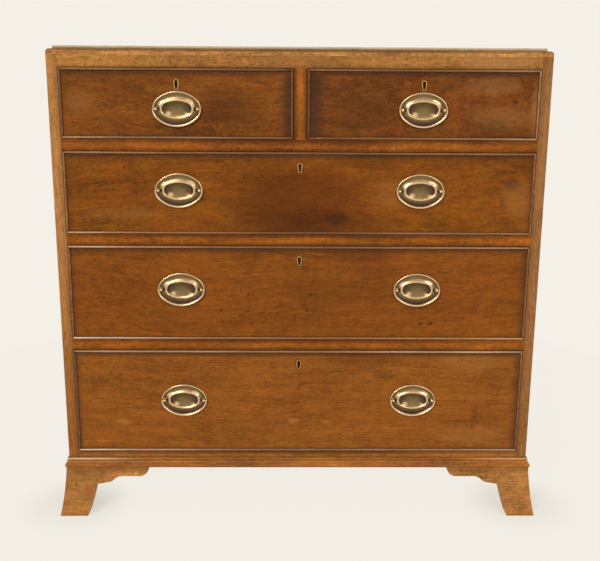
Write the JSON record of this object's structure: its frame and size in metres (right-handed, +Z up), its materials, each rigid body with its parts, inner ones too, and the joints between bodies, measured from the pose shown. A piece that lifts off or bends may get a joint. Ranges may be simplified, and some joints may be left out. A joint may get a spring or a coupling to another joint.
{
  "type": "bachelors chest",
  "caption": "Bachelor's chest with short drawers over long graduated drawers, cockbeaded fronts, oval brass bail handles, moulded base and splayed bracket feet.",
  "frame": {"origin": "on the floor, under the middle of the chest's bounding box", "axes": "+X to the right of someone facing the drawers, +Y from the drawers towards the back, +Z up"},
  "size_m": [0.9526, 0.4944, 0.914],
  "materials": {
    "case_wood": "satin",
    "rail_wood": "satin",
    "front_wood": "satin",
    "bead_wood": "satin",
    "moulding_wood": "satin",
    "foot_wood": "satin",
    "lining_wood": "matt",
    "brass": "polished",
    "lock_brass": "brushed"
  },
  "bodies": {
    "case": {"top_board": "case_wood", "side_right": "case_wood", "side_left": "case_wood", "bottom_board": "lining_wood", "back_boards": "lining_wood", "top_rail": "rail_wood", "drawer_rails": "rail_wood", "bottom_rail": "rail_wood", "centre_divider": "rail_wood", "dustboards": "lining_wood", "runners": "lining_wood", "drawer_stops": "lining_wood", "base_moulding": "moulding_wood", "front_foot_left": "foot_wood", "front_foot_right": "foot_wood", "back_foot_left": "foot_wood", "back_foot_right": "foot_wood"},
    "left_drawer": {"left_drawer_front": "front_wood", "left_drawer_cockbeads": "bead_wood", "left_drawer_box": "lining_wood", "left_drawer_bottom": "lining_wood", "left_drawer_lock": "lock_brass", "left_drawer_brasses": "brass"},
    "left_drawer_lock_bolt": {"left_drawer_lock_bolt": "lock_brass"},
    "left_drawer_bail": {"left_drawer_bail": "brass"},
    "right_drawer": {"right_drawer_front": "front_wood", "right_drawer_cockbeads": "bead_wood", "right_drawer_box": "lining_wood", "right_drawer_bottom": "lining_wood", "right_drawer_lock": "lock_brass", "right_drawer_brasses": "brass"},
    "right_drawer_lock_bolt": {"right_drawer_lock_bolt": "lock_brass"},
    "right_drawer_bail": {"right_drawer_bail": "brass"},
    "upper_drawer": {"upper_drawer_front": "front_wood", "upper_drawer_cockbeads": "bead_wood", "upper_drawer_box": "lining_wood", "upper_drawer_bottom": "lining_wood", "upper_drawer_lock": "lock_brass", "upper_drawer_brasses": "brass"},
    "upper_drawer_lock_bolt": {"upper_drawer_lock_bolt": "lock_brass"},
    "upper_drawer_bail_left": {"upper_drawer_bail_left": "brass"},
    "upper_drawer_bail_right": {"upper_drawer_bail_right": "brass"},
    "middle_drawer": {"middle_drawer_front": "front_wood", "middle_drawer_cockbeads": "bead_wood", "middle_drawer_box": "lining_wood", "middle_drawer_bottom": "lining_wood", "middle_drawer_lock": "lock_brass", "middle_drawer_brasses": "brass"},
    "middle_drawer_lock_bolt": {"middle_drawer_lock_bolt": "lock_brass"},
    "middle_drawer_bail_left": {"middle_drawer_bail_left": "brass"},
    "middle_drawer_bail_right": {"middle_drawer_bail_right": "brass"},
    "lower_drawer": {"lower_drawer_front": "front_wood", "lower_drawer_cockbeads": "bead_wood", "lower_drawer_box": "lining_wood", "lower_drawer_bottom": "lining_wood", "lower_drawer_lock": "lock_brass", "lower_drawer_brasses": "brass"},
    "lower_drawer_lock_bolt": {"lower_drawer_lock_bolt": "lock_brass"},
    "lower_drawer_bail_left": {"lower_drawer_bail_left": "brass"},
    "lower_drawer_bail_right": {"lower_drawer_bail_right": "brass"}
  },
  "joints": [
    {"name": "left_drawer_slide", "type": "slide", "parent": "case", "child": "left_drawer", "axis": [0, -1, 0], "range_m": [0, 0.36]},
    {"name": "left_drawer_lock_bolt_throw", "type": "slide", "parent": "left_drawer", "child": "left_drawer_lock_bolt", "axis": [0, 0, 1], "range_m": [0, 0.008]},
    {"name": "left_drawer_bail_hinge", "type": "hinge", "parent": "left_drawer", "child": "left_drawer_bail", "pos_m": [-0.22475, -0.23235, 0.803], "axis": [-1, 0, 0], "range_deg": [0, 175]},
    {"name": "right_drawer_slide", "type": "slide", "parent": "case", "child": "right_drawer", "axis": [0, -1, 0], "range_m": [0, 0.36]},
    {"name": "right_drawer_lock_bolt_throw", "type": "slide", "parent": "right_drawer", "child": "right_drawer_lock_bolt", "axis": [0, 0, 1], "range_m": [0, 0.008]},
    {"name": "right_drawer_bail_hinge", "type": "hinge", "parent": "right_drawer", "child": "right_drawer_bail", "pos_m": [0.22475, -0.23235, 0.803], "axis": [-1, 0, 0], "range_deg": [0, 175]},
    {"name": "upper_drawer_slide", "type": "slide", "parent": "case", "child": "upper_drawer", "axis": [0, -1, 0], "range_m": [0, 0.36]},
    {"name": "upper_drawer_lock_bolt_throw", "type": "slide", "parent": "upper_drawer", "child": "upper_drawer_lock_bolt", "axis": [0, 0, 1], "range_m": [0, 0.008]},
    {"name": "upper_drawer_bail_left_hinge", "type": "hinge", "parent": "upper_drawer", "child": "upper_drawer_bail_left", "pos_m": [-0.22475, -0.23235, 0.6545], "axis": [-1, 0, 0], "range_deg": [0, 175]},
    {"name": "upper_drawer_bail_right_hinge", "type": "hinge", "parent": "upper_drawer", "child": "upper_drawer_bail_right", "pos_m": [0.22475, -0.23235, 0.6545], "axis": [-1, 0, 0], "range_deg": [0, 175]},
    {"name": "middle_drawer_slide", "type": "slide", "parent": "case", "child": "middle_drawer", "axis": [0, -1, 0], "range_m": [0, 0.36]},
    {"name": "middle_drawer_lock_bolt_throw", "type": "slide", "parent": "middle_drawer", "child": "middle_drawer_lock_bolt", "axis": [0, 0, 1], "range_m": [0, 0.008]},
    {"name": "middle_drawer_bail_left_hinge", "type": "hinge", "parent": "middle_drawer", "child": "middle_drawer_bail_left", "pos_m": [-0.22475, -0.23235, 0.465], "axis": [-1, 0, 0], "range_deg": [0, 175]},
    {"name": "middle_drawer_bail_right_hinge", "type": "hinge", "parent": "middle_drawer", "child": "middle_drawer_bail_right", "pos_m": [0.22475, -0.23235, 0.465], "axis": [-1, 0, 0], "range_deg": [0, 175]},
    {"name": "lower_drawer_slide", "type": "slide", "parent": "case", "child": "lower_drawer", "axis": [0, -1, 0], "range_m": [0, 0.36]},
    {"name": "lower_drawer_lock_bolt_throw", "type": "slide", "parent": "lower_drawer", "child": "lower_drawer_lock_bolt", "axis": [0, 0, 1], "range_m": [0, 0.008]},
    {"name": "lower_drawer_bail_left_hinge", "type": "hinge", "parent": "lower_drawer", "child": "lower_drawer_bail_left", "pos_m": [-0.22475, -0.23235, 0.241], "axis": [-1, 0, 0], "range_deg": [0, 175]},
    {"name": "lower_drawer_bail_right_hinge", "type": "hinge", "parent": "lower_drawer", "child": "lower_drawer_bail_right", "pos_m": [0.22475, -0.23235, 0.241], "axis": [-1, 0, 0], "range_deg": [0, 175]}
  ]
}
